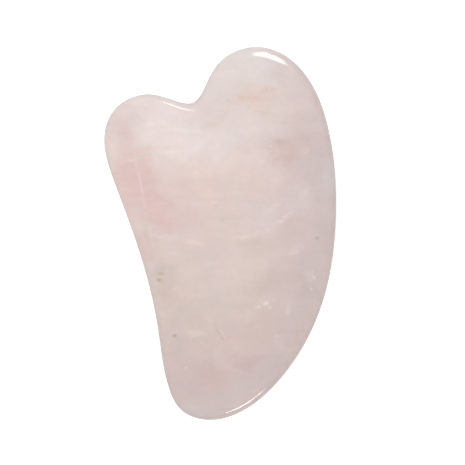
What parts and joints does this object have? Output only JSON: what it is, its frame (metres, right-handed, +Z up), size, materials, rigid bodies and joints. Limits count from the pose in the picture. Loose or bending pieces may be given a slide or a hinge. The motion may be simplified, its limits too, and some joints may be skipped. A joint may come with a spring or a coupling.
{
  "type": "gua sha scraper",
  "caption": "Flat polished stone with a heart-shaped end, a long round side, a slightly hollow side and a blunt tip, for massaging the face.",
  "frame": {"origin": "under the middle of the stone's bounding box, in the plane of its lower flat face", "axes": "+Y along the length towards the two lobes, +X towards the long round side, +Z up through the thickness"},
  "size_m": [0.051, 0.082, 0.006],
  "materials": {
    "rose_quartz": "polished"
  },
  "bodies": {
    "root": {"scraper_stone": "rose_quartz"}
  },
  "joints": []
}
